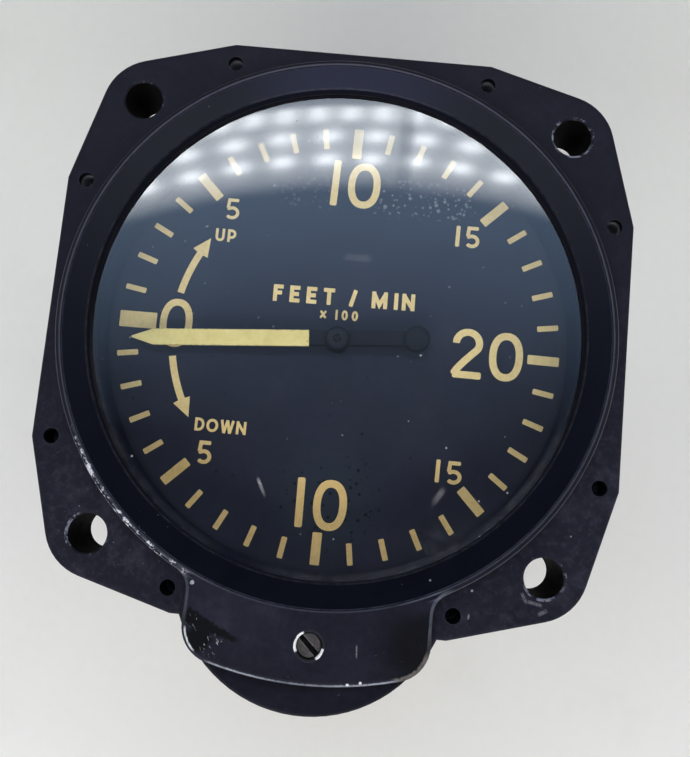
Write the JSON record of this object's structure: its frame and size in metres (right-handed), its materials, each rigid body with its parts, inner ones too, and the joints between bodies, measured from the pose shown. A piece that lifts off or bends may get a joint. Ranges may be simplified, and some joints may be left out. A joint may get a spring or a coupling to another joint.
{
  "type": "vertical speed indicator",
  "caption": "Panel instrument with a square-eared flange, glazed round dial, single pointer and zero-adjust screw in a lower lobe; capsule movement inside a closed barrel.",
  "frame": {"origin": "centre of the four mounting holes, on the flange's front face", "axes": "+Z out of the dial towards the viewer, +Y towards 12 o'clock, +X towards 3 o'clock"},
  "size_m": [0.082, 0.094, 0.1055],
  "materials": {
    "case_enamel": "black enamel over cast aluminium, worn to metal on the edges",
    "ring_enamel": "satin black",
    "glass": "clear",
    "seal_rubber": "matte",
    "dial_black": "matte blue-black with aged cream markings",
    "spacer_black": "matte black",
    "pointer_cream": "aged cream paint, black tail",
    "hub_black": "satin black",
    "brass_black": "matte black paint over brass",
    "steel": "turned",
    "blued_steel": "blued",
    "brass": "turned, slightly dull",
    "plate_brass": "grained",
    "bronze": "thin corrugated sheet",
    "nickel": "worn plating"
  },
  "bodies": {
    "housing": {"case": "case_enamel", "retaining_ring": "ring_enamel", "cover_glass": "glass", "glass_gasket": "seal_rubber", "dial_spacer_ring": "spacer_black", "dial_plate": "dial_black", "dial_feet": "brass", "dial_screws": "steel", "hairspring": "blued_steel", "hairspring_stud": "brass", "front_plate": "plate_brass", "front_plate_screws": "steel", "bridge_plate": "plate_brass", "base_plate": "plate_brass", "bridge_pillars": "brass", "base_pillars": "brass", "pillar_screws": "steel", "bearing_bushes": "brass", "rocking_shaft_brackets": "brass", "capsule_front": "bronze", "capsule_rear": "bronze", "capsule_stem": "brass", "capsule_nut": "brass", "capsule_posts": "brass", "capsule_post_nuts": "steel", "capsule_bracket": "plate_brass", "static_port": "brass", "static_tube": "seal_rubber", "restrictor": "brass", "rear_cover": "case_enamel", "rear_gasket": "seal_rubber", "rear_cover_screws": "steel", "zero_screw_bush": "nickel", "zero_screw_packing": "seal_rubber"},
    "pointer": {"pointer": "pointer_cream", "pointer_counterweight": "brass_black", "pointer_hub": "hub_black", "pointer_staff": "steel", "staff_pinion": "steel", "hairspring_collet": "brass"},
    "sector": {"sector_gear": "brass", "sector_arbor": "steel", "sector_finger": "steel"},
    "rocking_shaft": {"rocking_shaft": "steel", "rocking_finger": "steel", "balance_weight": "brass", "crank_arm": "brass"},
    "capsule_boss": {"capsule_link": "steel", "capsule_boss": "brass"},
    "zero_screw": {"zero_screw": "nickel", "zero_screw_collar": "brass", "zero_pinion": "brass"},
    "zero_wheel": {"zero_gear": "brass", "zero_shaft": "steel", "zero_cam": "brass"}
  },
  "joints": [
    {"name": "pointer_turn", "type": "hinge", "parent": "housing", "child": "pointer", "pos_m": [0, 0, -0.007], "axis": [0, 0, -1], "range_deg": [-175.2, 184.8]},
    {"name": "sector_turn", "type": "hinge", "parent": "housing", "child": "sector", "pos_m": [-0.01936, 0.005, -0.02], "axis": [0, 0, 1], "range_deg": [-19.5, 20.6]},
    {"name": "rocking_turn", "type": "hinge", "parent": "housing", "child": "rocking_shaft", "pos_m": [0, 0.005, -0.036], "axis": [1, 0, 0], "range_deg": [-13.5, 14.2]},
    {"name": "capsule_travel", "type": "slide", "parent": "housing", "child": "capsule_boss", "axis": [0, 0, 1], "range_m": [-0.00122, 0.00116], "stiffness_N_per_m": 250},
    {"name": "zero_screw_turn", "type": "hinge", "parent": "housing", "child": "zero_screw", "pos_m": [0.00055, -0.0429, 0], "axis": [0, 0, 1], "range_deg": [-120, 120]},
    {"name": "zero_wheel_turn", "type": "hinge", "parent": "housing", "child": "zero_wheel", "pos_m": [0, -0.02791, -0.012], "axis": [0, 0, 1], "range_deg": [-30.1, 30.1]}
  ],
  "couplings": [
    {"joint": "pointer_turn", "follows": "capsule_travel", "rad_per_m": -2633.4},
    {"joint": "sector_turn", "follows": "capsule_travel", "rad_per_m": -292.61},
    {"joint": "rocking_turn", "follows": "capsule_travel", "rad_per_m": -201.9},
    {"joint": "zero_wheel_turn", "follows": "zero_screw_turn", "ratio": -0.25}
  ]
}
